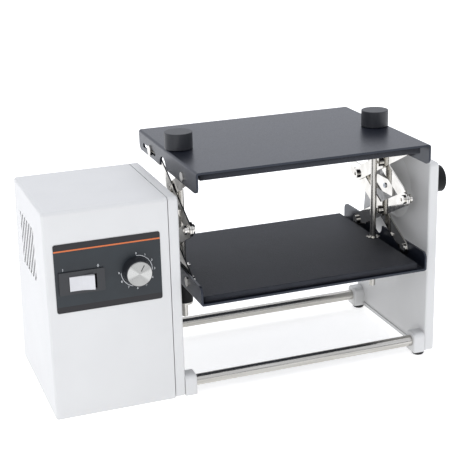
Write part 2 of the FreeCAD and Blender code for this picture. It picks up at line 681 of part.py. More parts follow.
def link_top(side):
    """Rear plane link from the front middle pivot up to the slot of the upper plate."""
    link = bar(side, REAR_LINK_U, FRONT_MID, UP_REAR, [FRONT_MID, CROSS_UP])
    return fuse_all([link, slot_pin(side, UP_REAR, REAR_LINK_U, FLANGE_U)])


def link_fall(side):
    """Rear plane link from the rear middle pivot down to the front of the lower plate."""
    link = bar(side, REAR_LINK_U, REAR_MID, DOWN_FRONT, [REAR_MID, DOWN_FRONT])
    head = disc(side, HEAD_U[0], HEAD_U[1], CROSS_DOWN[0], CROSS_DOWN[1], HEAD_R)
    shank = disc(side, HEAD_U[1], REAR_LINK_U[1] + 2.2, CROSS_DOWN[0], CROSS_DOWN[1], PIN_R)
    rivet = disc(side, REAR_LINK_U[1], REAR_LINK_U[1] + 2.2, CROSS_DOWN[0], CROSS_DOWN[1], 5.5)
    pin = fuse_all([head, shank, rivet]).cut(socket(side, CROSS_DOWN))
    return fuse_all([link, pin])


def link_low(side):
    """Front plane link from the front middle pivot down to the slot of the lower plate."""
    link = bar(side, FRONT_LINK_U, FRONT_MID, DOWN_REAR, [CROSS_DOWN])
    head = disc(side, HEAD_U[0], FRONT_LINK_U[0], FRONT_MID[0], FRONT_MID[1], HEAD_R)
    shank = disc(side, FRONT_LINK_U[1], TAIL_END_U + 1.0, FRONT_MID[0], FRONT_MID[1], PIN_R)
    stack = [disc(side, REAR_LINK_U[1] + 0.3, 165.0, FRONT_MID[0], 0.0, HEAD_R),
             disc(side, 165.0, 166.4, FRONT_MID[0], 0.0, 5.0),
             disc(side, 166.4, 169.4, FRONT_MID[0], 0.0, HEAD_R)]
    pin = fuse_all([head, shank] + stack)
    pin = pin.cut(socket(side, FRONT_MID))
    return fuse_all([link, pin, slot_pin(side, DOWN_REAR, FRONT_LINK_U, LOWER_FLANGE_U)])


def slot_pin(side, place, plane, flange):
    """Pin of a link end that slides in the slot of a plate flange."""
    head = disc(side, plane[0] - 3.3, plane[0], place[0], place[1], HEAD_R)
    tail = flange[1] + SLOT_TAIL
    shank = disc(side, plane[0], tail, place[0], place[1], PIN_R)
    washer = disc(side, flange[1] + 0.3, tail, place[0], place[1], 7.5)
    parts = [head, shank, washer]
    if plane == FRONT_LINK_U:
        parts.append(disc(side, plane[1], flange[0] - 0.3, place[0], place[1], 5.5))
    return fuse_all(parts)


# ---- clamping plates ---------------------------------------------------------------------------------------------
def clamp_plate(up, out, flange_u, flange_h, slot_y):
    """Sheet plate with both ends bent towards the rotor axis."""
    z_out = AXIS_Z + up * out
    z_in = z_out - up * PLATE_T
    z_edge = z_out - up * flange_h
    x0 = ux(-1, flange_u[1])
    x1 = ux(1, flange_u[1])
    outer = box(x0, x1, -PLATE_HALF_D, PLATE_HALF_D, min(z_out, z_edge), max(z_out, z_edge))
    bends = edges_where(outer, lambda e: along(e, 1) and abs(e.CenterOfMass.z - z_out) < 0.01)
    outer = outer.makeFillet(BEND_R, bends)
    hollow = box(x0 + PLATE_T, x1 - PLATE_T, -PLATE_HALF_D - 1.0, PLATE_HALF_D + 1.0,
                 min(z_in, z_edge - up), max(z_in, z_edge - up))
    inner_bends = edges_where(hollow, lambda e: along(e, 1) and abs(e.CenterOfMass.z - z_in) < 0.01)
    hollow = hollow.makeFillet(BEND_R - PLATE_T, inner_bends)
    plate = outer.cut(hollow)
    corners = edges_where(plate, lambda e: along(e, 0) and abs(e.CenterOfMass.z - z_edge) < 0.01)
    plate = plate.makeFillet(FLANGE_CORNER_R, corners)
    # slot for the sliding pin, hole of the fixed pin and the clearance notch in each flange
    pin_z = AXIS_Z + up * FLANGE_PIN_Z
    for side in (-1, 1):
        xa = min(ux(side, flange_u[0] - 1.0), ux(side, flange_u[1] + 1.0))
        xb = max(ux(side, flange_u[0] - 1.0), ux(side, flange_u[1] + 1.0))
        slot = fuse_all([box(xa, xb, slot_y[0], slot_y[1], pin_z - SLOT_HALF_W, pin_z + SLOT_HALF_W),
                         x_rod(xa, xb, slot_y[0], pin_z, SLOT_HALF_W),
                         x_rod(xa, xb, slot_y[1], pin_z, SLOT_HALF_W)])
        plate = plate.cut(slot)
        plate = plate.cut(x_rod(xa, xb, -PIVOT_Y, pin_z, PIN_R))
        mouth = z_edge - up * 1.0
        root = z_edge + up * (NOTCH_DEPTH - NOTCH_HALF_W)
        notch = box(xa, xb, NOTCH_Y - NOTCH_HALF_W, NOTCH_Y + NOTCH_HALF_W, min(mouth, root), max(mouth, root))
        notch = notch.fuse(x_rod(xa, xb, NOTCH_Y, root, NOTCH_HALF_W))
        plate = plate.cut(notch)
        plate = plate.cut(z_rod(ux(side, ROD_U), 0.0, min(z_in, z_out) - 1.0, max(z_in, z_out) + 1.0,
                                ROD_HOLE_R))
    return plate


def plate_pins(up):
    """Fixed pins of one plate, one in each flange."""
    out = []
    for side in (-1, 1):
        z = up * FLANGE_PIN_Z
        plane = FRONT_LINK_U if up > 0 else REAR_LINK_U
        flange = FLANGE_U if up > 0 else LOWER_FLANGE_U
        head = disc(side, plane[0] - 3.6, plane[0] - 0.3, -PIVOT_Y, z, HEAD_R)
        shank = disc(side, plane[0] - 0.3, flange[1] + 2.0, -PIVOT_Y, z, PIN_R)
        spacer = disc(side, plane[1] + 0.3, flange[0], -PIVOT_Y, z, 5.5)
        outer = disc(side, flange[1], flange[1] + 2.2, -PIVOT_Y, z, HEAD_R)
        out.append(fuse_all([head, shank, spacer, outer]))
    return out


def pad(up, out):
    """Rubber sheet on the inner face of a plate: ends notched round the guide rods, a tab at the left front."""
    z_a = AXIS_Z + up * (out - PLATE_T)
    z_b = z_a - up * PAD_T
    sheet = box(ux(-1, PAD_HALF_L), ux(1, PAD_HALF_L), -PAD_HALF_D, PAD_HALF_D, min(z_a, z_b), max(z_a, z_b))
    tab = box(ux(-1, PAD_TAB_U), ux(-1, PAD_HALF_L - 1.0), -PAD_HALF_D, PAD_TAB_Y, min(z_a, z_b), max(z_a, z_b))
    sheet = sheet.fuse(tab).removeSplitter()
    for side in (-1, 1):
        notch = z_rod(ux(side, ROD_U), 0.0, min(z_a, z_b) - 1.0, max(z_a, z_b) + 1.0, PAD_NOTCH_R)
        mouth = sorted((ux(side, ROD_U), ux(side, PAD_HALF_L + 1.0)))
        notch = notch.fuse(box(mouth[0], mouth[1], -PAD_NOTCH_R, PAD_NOTCH_R,
                               min(z_a, z_b) - 1.0, max(z_a, z_b) + 1.0))
        sheet = sheet.cut(notch)
    return sheet


def rod(side):
    """Guide rod with the collar that holds it in the upper plate."""
    x = ux(side, ROD_U)
    z_top = AXIS_Z + UPPER_OUT + 14.0
    stem = z_rod(x, 0.0, AXIS_Z + ROD_BOTTOM + 1.0, z_top, ROD_R)
    tip = Part.makeCone(ROD_R - 1.0, ROD_R, 1.0, V(x, 0.0, AXIS_Z + ROD_BOTTOM))
    z_clip = AXIS_Z + UPPER_OUT - PLATE_T - 0.4
    clip = z_rod(x, 0.0, z_clip - 1.6, z_clip, 7.0)
    return fuse_all([stem, tip, clip])


def knob(side):
    x = ux(side, ROD_U)
    z0 = AXIS_Z + UPPER_OUT + KNOB_GAP
    body = z_rod(x, 0.0, z0, z0 + KNOB_H, LOCK_KNOB_R)
    rims = edges_where(body, lambda e: e.BoundBox.ZLength < 0.01)
    body = body.makeFillet(0.9, rims)
    return body.cut(z_rod(x, 0.0, z0 - 1.0, AXIS_Z + UPPER_OUT + 14.0, ROD_R))


def rod_bushes():
    """Guide bushes on the lower plate, each with a toothed washer round its head."""
    out = []
    z_plate = AXIS_Z - LOWER_OUT + PLATE_T
    z0 = z_plate + PAD_T + WASHER_GAP
    for side in (-1, 1):
        x = ux(side, ROD_U)
        disc_body = z_rod(x, 0.0, z0, z0 + WASHER_T, WASHER_R)
        for i in range(8):
            a = math.radians(45.0 * i)
            tooth_gap = z_rod(x + WASHER_R * math.cos(a), WASHER_R * math.sin(a), z0 - 1.0, z0 + 2.0, 2.4)
            disc_body = disc_body.cut(tooth_gap)
        bush = disc_body.fuse(z_rod(x, 0.0, z_plate, z0 + 1.5, BUSH_R)).removeSplitter()
        out.append(bush.cut(z_rod(x, 0.0, z_plate - 1.0, z0 + 3.0, ROD_HOLE_R)))
    return out


def rod_sleeves():
    """Black guide sleeves below the lower plate."""
    out = []
    z1 = AXIS_Z - LOWER_OUT
    z0 = AXIS_Z + SLEEVE_BOTTOM
    for side in (-1, 1):
        x = ux(side, ROD_U)
        body = z_rod(x, 0.0, z0, z1, SLEEVE_R)
        out.append(body.cut(z_rod(x, 0.0, z0 - 1.0, z1 + 1.0, ROD_HOLE_R)))
    return out


def sleeve_rings():
    """Bright end rings of the guide sleeves."""
    out = []
    z1 = AXIS_Z + SLEEVE_BOTTOM
    z0 = z1 - RING_H
    for side in (-1, 1):
        x = ux(side, ROD_U)
        body = z_rod(x, 0.0, z0, z1, SLEEVE_R - 0.6)
        out.append(body.cut(z_rod(x, 0.0, z0 - 1.0, z1 + 1.0, ROD_HOLE_R)))
    return out


# ---- write every node ---------------------------------------------------------------------------------------------
save("housing_cover", housing_cover())
save("base_plate", base_plate())
save("cheek_left", cheek(-1))
save("cheek_right", cheek(1))
save("cheek_cover_right", right_cover())
save("cheek_cover_screws", cover_screws())
save("cross_tubes", cross_tubes())
save("tube_bolts", tube_bolts())
save("feet", feet())
save("control_foil", control_foil())
save("switch_frame", switch_frame())
save("rocker", rocker())
save("dial_skirt", dial_skirt())
save("dial_cap", dial_cap())
save("speed_pot", speed_pot())
save("control_board", control_board())
save("board_posts", board_posts())
save("power_inlet", power_inlet())
save("bearings", bearings())
save("drive_shaft", drive_shaft())
save("tail_shaft", tail_shaft())
save("hand_knob", hand_knob())
save("hub_plates", hub_plates())
save("hub_pins", hub_pins())
save("hub_screws", hub_screws())
save("rotor_pulley", pulley(PULLEY_X[0], PULLEY_X[1], AXIS_Z, ROTOR_PULLEY_R, SHAFT_R))
save("drive_belt", drive_belt())
save("gear_case", gear_motor())
save("motor_body", motor_body())
save("motor_pulley", motor_pulley())
for name, side in (("left", -1), ("right", 1)):
    save("link_rise_" + name, link_rise(side))
    save("link_top_" + name, link_top(side))
    save("link_fall_" + name, link_fall(side))
    save("link_low_" + name, link_low(side))
    save("rod_" + name, rod(side))
    save("knob_" + name, knob(side))
save("upper_plate", clamp_plate(1, UPPER_OUT, FLANGE_U, UPPER_FLANGE_H, UPPER_SLOT_Y))
save("upper_pins", plate_pins(1))
save("upper_mat", pad(1, UPPER_OUT))
save("lower_plate", clamp_plate(-1, LOWER_OUT, LOWER_FLANGE_U, LOWER_FLANGE_H, LOWER_SLOT_Y))
save("lower_pins", plate_pins(-1))
save("lower_mat", pad(-1, LOWER_OUT))
save("rod_bushes", rod_bushes())
save("rod_sleeves", rod_sleeves())
save("sleeve_rings", sleeve_rings())
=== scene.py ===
"""Overhead laboratory shaker: finishes, printed marks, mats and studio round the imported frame."""
import math

import bmesh
import bpy
from mathutils import Matrix, Vector


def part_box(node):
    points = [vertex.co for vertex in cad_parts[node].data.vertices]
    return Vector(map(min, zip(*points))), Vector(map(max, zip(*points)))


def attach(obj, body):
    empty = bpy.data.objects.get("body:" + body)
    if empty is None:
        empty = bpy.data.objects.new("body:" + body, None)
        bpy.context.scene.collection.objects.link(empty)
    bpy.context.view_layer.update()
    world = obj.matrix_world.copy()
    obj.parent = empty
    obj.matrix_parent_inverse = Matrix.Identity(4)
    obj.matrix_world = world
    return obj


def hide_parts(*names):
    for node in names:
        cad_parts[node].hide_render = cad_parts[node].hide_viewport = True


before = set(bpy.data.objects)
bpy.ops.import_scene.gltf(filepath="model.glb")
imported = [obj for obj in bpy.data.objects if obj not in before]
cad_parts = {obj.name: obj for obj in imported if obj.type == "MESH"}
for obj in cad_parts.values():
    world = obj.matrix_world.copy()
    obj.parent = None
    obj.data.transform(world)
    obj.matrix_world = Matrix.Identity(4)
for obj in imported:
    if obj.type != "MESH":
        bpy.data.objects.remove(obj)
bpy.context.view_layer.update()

bl_info = {
    "name": "Overhead shaker",
    "version": (1, 0, 0),
    "blender": (4, 5, 0),
    "location": "3D View > Sidebar > Shaker",
    "description": "Finishes, printed marks and mats of a laboratory overhead shaker",
    "category": "Object",
}

MM = 0.001
FOIL_LOW, FOIL_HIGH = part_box("control_foil")
DIAL_LOW, DIAL_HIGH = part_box("dial_skirt")
SWITCH_LOW, SWITCH_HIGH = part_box("switch_frame")
DIAL_X = (DIAL_LOW[0] + DIAL_HIGH[0]) / 2
DIAL_Z = (DIAL_LOW[2] + DIAL_HIGH[2]) / 2
PRINT_LIFT = 0.04 * MM      # print stands this far proud of the foil
PRINT_T = 0.05 * MM
CAP_PART = 0.7              # height of a capital as a part of the lettering's size
FOIL_HEAD = 9.0 * MM        # darker bands along the foil's top and bottom edges
FOIL_FOOT = 8.5 * MM
MARK_HEIGHT = 3.4 * MM      # "I" and "0" above the switch
MARK_LEFT_IN = 6.4 * MM
MARK_RIGHT_IN = 7.8 * MM
LINE_END_GAP = 0.3 * MM
POINTER_HALF_W = 0.5 * MM
POINTER_REACH = (4.1 * MM, 12.9 * MM)   # distances of the pointer's ends from the dial's centre
POINTER_DEPTH = (0.1 * MM, 0.45 * MM)   # the fill lies this far below the cap's face
POINTER_TURN = 30                       # degrees, at digit 1
RING_PITCH = 0.9 * MM       # drawn distance of the dial's tool marks
MAT_EDGE = 0.8 * MM         # rounding of a mat's edges
MAT_NOTCH = 7.6 * MM        # half width of the notch round each guide rod
MAT_TAB_Y = -86 * MM        # rear end of the tab at a mat's left front
FLOOR_SIZE = 12.0
CAMERA_PLACE = (-0.5578, -1.4816, 0.7299)
CAMERA_RIGHT = (0.93825, -0.34504, -0.02533)
CAMERA_UP = (0.13245, 0.29059, 0.94764)
CAMERA_VIEW = (0.31961, 0.89247, -0.31835)
CAMERA_LENS = 92.1
CAMERA_SENSOR = 36.0
WORLD_TINT = (0.965, 0.985, 1.045, 1.0)
WORLD_SPLIT = 0.35          # height of a direction above which the world is fully bright


# ---- sizes and colours that a user would change ---------------------------------------------------
class ShakerPrint(bpy.types.PropertyGroup):
    """Sizes of the printing on the control foil."""
    digit_height: bpy.props.FloatProperty(
        name="Digit height", description="Height of the dial digits", default=4.2 * MM, subtype="DISTANCE")
    digit_radius: bpy.props.FloatProperty(
        name="Digit circle", description="Radius of the circle of digits", default=23.9 * MM,
        subtype="DISTANCE")
    arc_radius: bpy.props.FloatProperty(
        name="Arc radius", description="Radius of the thin arc inside the digits", default=21.0 * MM,
        subtype="DISTANCE")
    arc_width: bpy.props.FloatProperty(
        name="Arc width", description="Width of the thin arc", default=0.6 * MM, subtype="DISTANCE")
    line_width: bpy.props.FloatProperty(
        name="Line width", description="Width of the coloured line", default=1.9 * MM, subtype="DISTANCE")
    line_drop: bpy.props.FloatProperty(
        name="Line drop", description="Distance from the foil's top edge to the line", default=9.4 * MM,
        subtype="DISTANCE")


class ShakerPaint(bpy.types.PropertyGroup):
    """Colours of the main finishes."""
    coat: bpy.props.StringProperty(name="Body coat", description="Powder coat of the body, sRGB hex",
                                   default="D2D2D1")
    plates: bpy.props.StringProperty(name="Plate coat", description="Coat of the clamping plates, sRGB hex",
                                     default="10131D")
    line: bpy.props.StringProperty(name="Foil line", description="Coloured line on the foil, sRGB hex",
                                   default="D06B33")
    mats: bpy.props.StringProperty(name="Mats", description="Rubber of both mats, sRGB hex",
                                   default="17181D")


class ShakerStudio(bpy.types.PropertyGroup):
    """Studio light strengths."""
    backdrop: bpy.props.FloatProperty(
        name="Backdrop", description="Strength of the white backdrop and ceiling", default=1.04)
    room: bpy.props.FloatProperty(
        name="Room", description="Strength of the dim room in front of the shaker", default=0.34)
    floor_fill: bpy.props.FloatProperty(
        name="Floor fill", description="Light given off by the lit floor sheet", default=0.60)
    key: bpy.props.FloatProperty(
        name="Key", description="Power of the large overhead light", default=5.2, subtype="POWER")
    side: bpy.props.FloatProperty(
        name="Side", description="Power of the light at the front left", default=4.0, subtype="POWER")


# ---- helpers ---------------------------------------------------------------------------------------
def linear(text):
    """Turn an sRGB hex colour into a linear RGBA tuple."""
    out = []
    for i in (0, 2, 4):
        c = int(text[i:i + 2], 16) / 255
        out.append(c / 12.92 if c <= 0.04045 else ((c + 0.055) / 1.055) ** 2.4)
    return (*out, 1.0)


def add_node(mat, kind, inputs=None, **settings):
    """Add one shader node; an input given as a socket is linked, any other is set."""
    node = mat.node_tree.nodes.new(kind)
    for name, value in settings.items():
        setattr(node, name, value)
    for key, value in (inputs or {}).items():
        if isinstance(value, bpy.types.NodeSocket):
            mat.node_tree.links.new(value, node.inputs[key])
        else:
            node.inputs[key].default_value = value
    return node


def new_finish(name, **sockets):
    """Start a material whose shader's own sockets hold its even values."""
    mat = bpy.data.materials.new(name)
    mat.use_nodes = True
    mat.node_tree.nodes.clear()
    words = {key.replace("_", " "): value for key, value in sockets.items()}
    shader = add_node(mat, "ShaderNodeBsdfPrincipled", words)
    add_node(mat, "ShaderNodeOutputMaterial", {"Surface": shader.outputs["BSDF"]})
    return mat, shader


def place_on(mat, stretch=(1, 1, 1), centre=(0, 0, 0)):
    """Object coordinates, moved to a centre and stretched."""
    coord = add_node(mat, "ShaderNodeTexCoord")
    move = add_node(mat, "ShaderNodeMapping", {"Vector": coord.outputs["Object"],
                                               "Location": [-c * s for c, s in zip(centre, stretch)],
                                               "Scale": stretch})
    return move.outputs["Vector"]


def link(mat, source, shader, socket):
    """Feed a shader's socket."""
    mat.node_tree.links.new(source, shader.inputs[socket])


def grain(mat, vector, size_mm, detail=2.0):
    """Noise whose features are about size_mm across."""
    noise = add_node(mat, "ShaderNodeTexNoise", {"Vector": vector, "Scale": 1 / (size_mm * MM),
                                                 "Detail": detail, "Roughness": 0.55})
    return noise.outputs["Fac"]


def tint(mat, fac, dark, light, low=0.3, high=0.7):
    """Two colour ramp over a pattern."""
    ramp = add_node(mat, "ShaderNodeValToRGB", {"Fac": fac})
    ramp.color_ramp.elements[0].position = low
    ramp.color_ramp.elements[0].color = linear(dark)
    ramp.color_ramp.elements[1].position = high
    ramp.color_ramp.elements[1].color = linear(light)
    return ramp.outputs["Color"]


def spread(mat, fac, low, high):
    """Map a pattern of 0 to 1 onto a range of values."""
    out = add_node(mat, "ShaderNodeMapRange", {"Value": fac, "From Min": 0.25, "From Max": 0.75,
                                               "To Min": low, "To Max": high})
    return out.outputs["Result"]


def relief(mat, shader, height, depth_mm):
    """Bump of a stated depth."""
    bump = add_node(mat, "ShaderNodeBump", {"Height": height, "Distance": depth_mm * MM,
                                            "Strength": 1.0})
    link(mat, bump.outputs["Normal"], shader, "Normal")


def shade(hex_text, factor):
    """Scale an sRGB hex colour's three values."""
    values = [min(255, round(int(hex_text[i:i + 2], 16) * factor)) for i in (0, 2, 4)]
    return "%02X%02X%02X" % tuple(values)


# ---- finishes --------------------------------------------------------------------------------------
def powder_coated_sheet(colour):
    # Light grey polyester powder on sheet steel: an even satin with a faint orange peel.
    # The peel is about 1 mm; it is drawn at 2.4 mm so that it shows at all.
    mat, shader = new_finish("powder_coated_sheet", IOR=1.5, Coat_Weight=0.12, Coat_Roughness=0.35)
    where = place_on(mat)
    link(mat, tint(mat, grain(mat, where, 60.0), shade(colour, 0.985), colour), shader, "Base Color")
    peel = grain(mat, where, 2.4, 3.0)
    link(mat, spread(mat, peel, 0.40, 0.50), shader, "Roughness")
    relief(mat, shader, peel, 0.05)
    return mat


def satin_black_plate(colour):
    # Fine textured black powder on steel plate: satin, with broad soft bluish reflections.
    mat, shader = new_finish("satin_black_plate", IOR=1.52, Specular_Tint=(0.80, 0.87, 1.0, 1.0))
    where = place_on(mat)
    link(mat, tint(mat, grain(mat, where, 45.0), shade(colour, 0.9), shade(colour, 1.12)), shader,
         "Base Color")
    fine = grain(mat, where, 1.6, 3.0)
    link(mat, spread(mat, fine, 0.27, 0.37), shader, "Roughness")
    relief(mat, shader, fine, 0.02)
    return mat


def polished_stainless():
    # Tumbled and polished stainless strip: near mirror with faint handling haze.
    mat, shader = new_finish("polished_stainless", Metallic=1.0)
    where = place_on(mat)
    link(mat, tint(mat, grain(mat, where, 18.0), "C4C1BB", "DAD8D3"), shader, "Base Color")
    link(mat, spread(mat, grain(mat, where, 7.0, 4.0), 0.03, 0.11), shader, "Roughness")
    relief(mat, shader, grain(mat, where, 9.0), 0.01)
    return mat


def drawn_stainless(name, stretch):
    # Drawn stainless bar and tube, ground along its length: fine streaks follow the bar.
    # The scratches are under 0.1 mm apart; they are drawn near 0.8 mm across to show.
    mat, shader = new_finish(name, Metallic=1.0, Anisotropic=0.3)
    streaks = grain(mat, place_on(mat, stretch), 0.8, 3.0)
    link(mat, tint(mat, streaks, "A9A6A0", "CCCAC5"), shader, "Base Color")
    link(mat, spread(mat, streaks, 0.17, 0.30), shader, "Roughness")
    relief(mat, shader, streaks, 0.01)
    return mat


def zinc_plated_screws():
    # Bright zinc plate: pale blue grey, slightly cloudy.
    mat, shader = new_finish("zinc_plated_screws", Metallic=1.0)
    cloud = grain(mat, place_on(mat), 1.5, 3.0)
    link(mat, tint(mat, cloud, "9DA1A6", "C2C5C8"), shader, "Base Color")
    link(mat, spread(mat, cloud, 0.25, 0.4), shader, "Roughness")
    return mat


def moulded_black_plastic(name, colour, rough, ior=1.53):
    # Spark textured glass filled nylon: matt charcoal with a fine even grain.
    # The grain is about 0.1 mm; it is drawn at 0.7 mm to show.
    mat, shader = new_finish(name, IOR=ior)
    fine = grain(mat, place_on(mat), 0.7, 4.0)
    link(mat, tint(mat, fine, shade(colour, 0.85), shade(colour, 1.15)), shader, "Base Color")
    link(mat, spread(mat, fine, rough - 0.05, rough + 0.06), shader, "Roughness")
    relief(mat, shader, fine, 0.03)
    return mat


def glossy_white_plastic():
    # Moulded polycarbonate rocker: clean white, shiny, with a very slight ripple.
    mat, shader = new_finish("glossy_white_plastic", IOR=1.58)
    where = place_on(mat)
    link(mat, tint(mat, grain(mat, where, 20.0), "C3C3C5", "CCCCCE"), shader, "Base Color")
    link(mat, spread(mat, grain(mat, where, 6.0), 0.14, 0.22), shader, "Roughness")
    return mat


def nitrile_rubber_mat(colour):
    # Dense nitrile sheet with a pressed leather grain: dark, matt, faintly paler on the high spots.
    mat, shader = new_finish("nitrile_rubber_mat", IOR=1.5, Sheen_Weight=0.03, Sheen_Roughness=0.5,
                             Specular_Tint=(0.84, 0.89, 1.0, 1.0))
    where = place_on(mat)
    cells = add_node(mat, "ShaderNodeTexVoronoi", {"Vector": where, "Scale": 1 / (1.9 * MM)},
                     feature="F1")
    pits = grain(mat, where, 0.9, 4.0)
    both = add_node(mat, "ShaderNodeMath", {0: cells.outputs["Distance"], 1: pits}, operation="ADD")
    patch = grain(mat, where, 35.0, 3.0)
    mixed = add_node(mat, "ShaderNodeMath", {0: pits, 1: patch}, operation="ADD")
    half = add_node(mat, "ShaderNodeMath", {0: mixed.outputs[0], 1: 0.5}, operation="MULTIPLY")
    link(mat, tint(mat, half.outputs[0], shade(colour, 0.8), shade(colour, 1.25), 0.35, 0.65), shader,
         "Base Color")
    link(mat, spread(mat, pits, 0.54, 0.68), shader, "Roughness")
    relief(mat, shader, both.outputs[0], 0.22)
    return mat


def moulded_foot_rubber():
    # Moulded rubber foot: black, matt, with dust in its pores.
    mat, shader = new_finish("moulded_foot_rubber", IOR=1.5)
    fine = grain(mat, place_on(mat), 0.8, 4.0)
    link(mat, tint(mat, fine, "111112", "1D1D1E"), shader, "Base Color")
    link(mat, spread(mat, fine, 0.62, 0.78), shader, "Roughness")
    relief(mat, shader, fine, 0.05)
    return mat


def printed_polyester_foil():
    # Reverse printed polyester film: slate field with darker bands at its head and foot, fine satin skin.
    mat, shader = new_finish("printed_polyester_foil", IOR=1.45)
    where = place_on(mat)
    split = add_node(mat, "ShaderNodeSeparateXYZ", {"Vector": where})
    head = add_node(mat, "ShaderNodeMath",
                    {0: split.outputs["Z"], 1: FOIL_HIGH[2] - FOIL_HEAD}, operation="GREATER_THAN")
    foot = add_node(mat, "ShaderNodeMath",
                    {0: split.outputs["Z"], 1: FOIL_LOW[2] + FOIL_FOOT}, operation="LESS_THAN")
    band = add_node(mat, "ShaderNodeMath", {0: head.outputs[0], 1: foot.outputs[0]}, operation="ADD")
    field = tint(mat, grain(mat, where, 30.0), "1B2126", "20272C")
    mix = add_node(mat, "ShaderNodeMix", {"Factor": band.outputs[0], "A": field, "B": linear("141216")},
                   data_type="RGBA")
    link(mat, mix.outputs["Result"], shader, "Base Color")
    fine = grain(mat, where, 0.9, 3.0)
    link(mat, spread(mat, fine, 0.34, 0.44), shader, "Roughness")
    relief(mat, shader, fine, 0.01)
    return mat


def screen_ink(name, colour):
    # Screen printed ink under satin film: even colour with a soft edge to its sheen.
    mat, shader = new_finish(name, IOR=1.5)
    fine = grain(mat, place_on(mat), 1.2, 3.0)
    link(mat, tint(mat, fine, shade(colour, 0.94), colour), shader, "Base Color")
    link(mat, spread(mat, fine, 0.42, 0.52), shader, "Roughness")
    return mat


def spun_aluminium():
    # Diamond turned aluminium face: concentric tool marks, and a painted reflection: the fan of light and
    # dark sectors that such marks show is painted into the base colour by angle round the centre.
    # The marks are about 0.1 mm apart; they are drawn 0.9 mm apart to show.
    mat, shader = new_finish("spun_aluminium", Metallic=1.0, Anisotropic=0.85)
    where = place_on(mat, (1, 0, 1), (DIAL_X, 0, DIAL_Z))
    rings = add_node(mat, "ShaderNodeTexWave", {"Vector": where, "Scale": 1 / (math.pi * RING_PITCH),
                                                "Distortion": 0.4, "Detail": 2.0},
                     wave_type="RINGS", rings_direction="Y")
    # painted reflection: light and dark sectors by angle round the dial's centre, painted into the base
    # colour
    split = add_node(mat, "ShaderNodeSeparateXYZ", {"Vector": where})
    turn = add_node(mat, "ShaderNodeMath", {0: split.outputs["Z"], 1: split.outputs["X"]},
                    operation="ARCTAN2")
    doubled = add_node(mat, "ShaderNodeMath", {0: turn.outputs[0], 1: 2.0, 2: 0.4},
                       operation="MULTIPLY_ADD")
    fan_reflection_wave = add_node(mat, "ShaderNodeMath", {0: doubled.outputs[0]}, operation="COSINE")
    painted_fan_reflection = tint(mat, spread(mat, fan_reflection_wave.outputs[0], 0.5, 0.9), "70706E", "D6D6D3", 0.0, 1.0)
    lines = tint(mat, rings.outputs["Fac"], "D8D8D8", "FFFFFF", 0.0, 1.0)
    face = add_node(mat, "ShaderNodeMix", {"Factor": 1.0, "A": painted_fan_reflection, "B": lines},
                    data_type="RGBA", blend_type="MULTIPLY")
    link(mat, face.outputs["Result"], shader, "Base Color")
    link(mat, spread(mat, rings.outputs["Fac"], 0.24, 0.36), shader, "Roughness")
    round_it = add_node(mat, "ShaderNodeVectorMath", {0: where, 1: (0, 1, 0)}, operation="CROSS_PRODUCT")
    along = add_node(mat, "ShaderNodeVectorMath", {0: round_it.outputs["Vector"]}, operation="NORMALIZE")
    link(mat, along.outputs["Vector"], shader, "Tangent")
    return mat


def cast_aluminium():
    # Die cast aluminium: pale grey, slightly rough, with flow marks.
    mat, shader = new_finish("cast_aluminium", Metallic=1.0)
    flow = grain(mat, place_on(mat), 4.0, 4.0)
    link(mat, tint(mat, flow, "84868A", "A5A7AA"), shader, "Base Color")
    link(mat, spread(mat, flow, 0.42, 0.6), shader, "Roughness")
    relief(mat, shader, flow, 0.1)
    return mat


def solder_mask_board():
    # Glass epoxy board under green solder mask: glossy, with the weave faintly showing.
    mat, shader = new_finish("solder_mask_board", IOR=1.55)
    where = place_on(mat)
    weave = add_node(mat, "ShaderNodeTexChecker", {"Vector": where, "Scale": 1 / (1.0 * MM),
                                                   "Color1": linear("1C4A2C"), "Color2": linear("205033")})
    link(mat, weave.outputs["Color"], shader, "Base Color")
    link(mat, spread(mat, grain(mat, where, 3.0), 0.25, 0.4), shader, "Roughness")
    return mat


# ---- pieces ------------------------------------------------------------------------------------------
def dress(mat, *names):
    """Give CAD nodes a finish."""
    for name in names:
        mesh = bpy.data.objects[name].data
        mesh.materials.clear()
        mesh.materials.append(mat)


def new_piece(name, bm, mat, body):
    """Make an object of a bmesh, riding on a body."""
    mesh = bpy.data.meshes.new(name)
    bm.to_mesh(mesh)
    bm.free()
    mesh.materials.append(mat)
    piece = bpy.data.objects.new(name, mesh)
    bpy.context.scene.collection.objects.link(piece)
    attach(piece, body)
    return piece


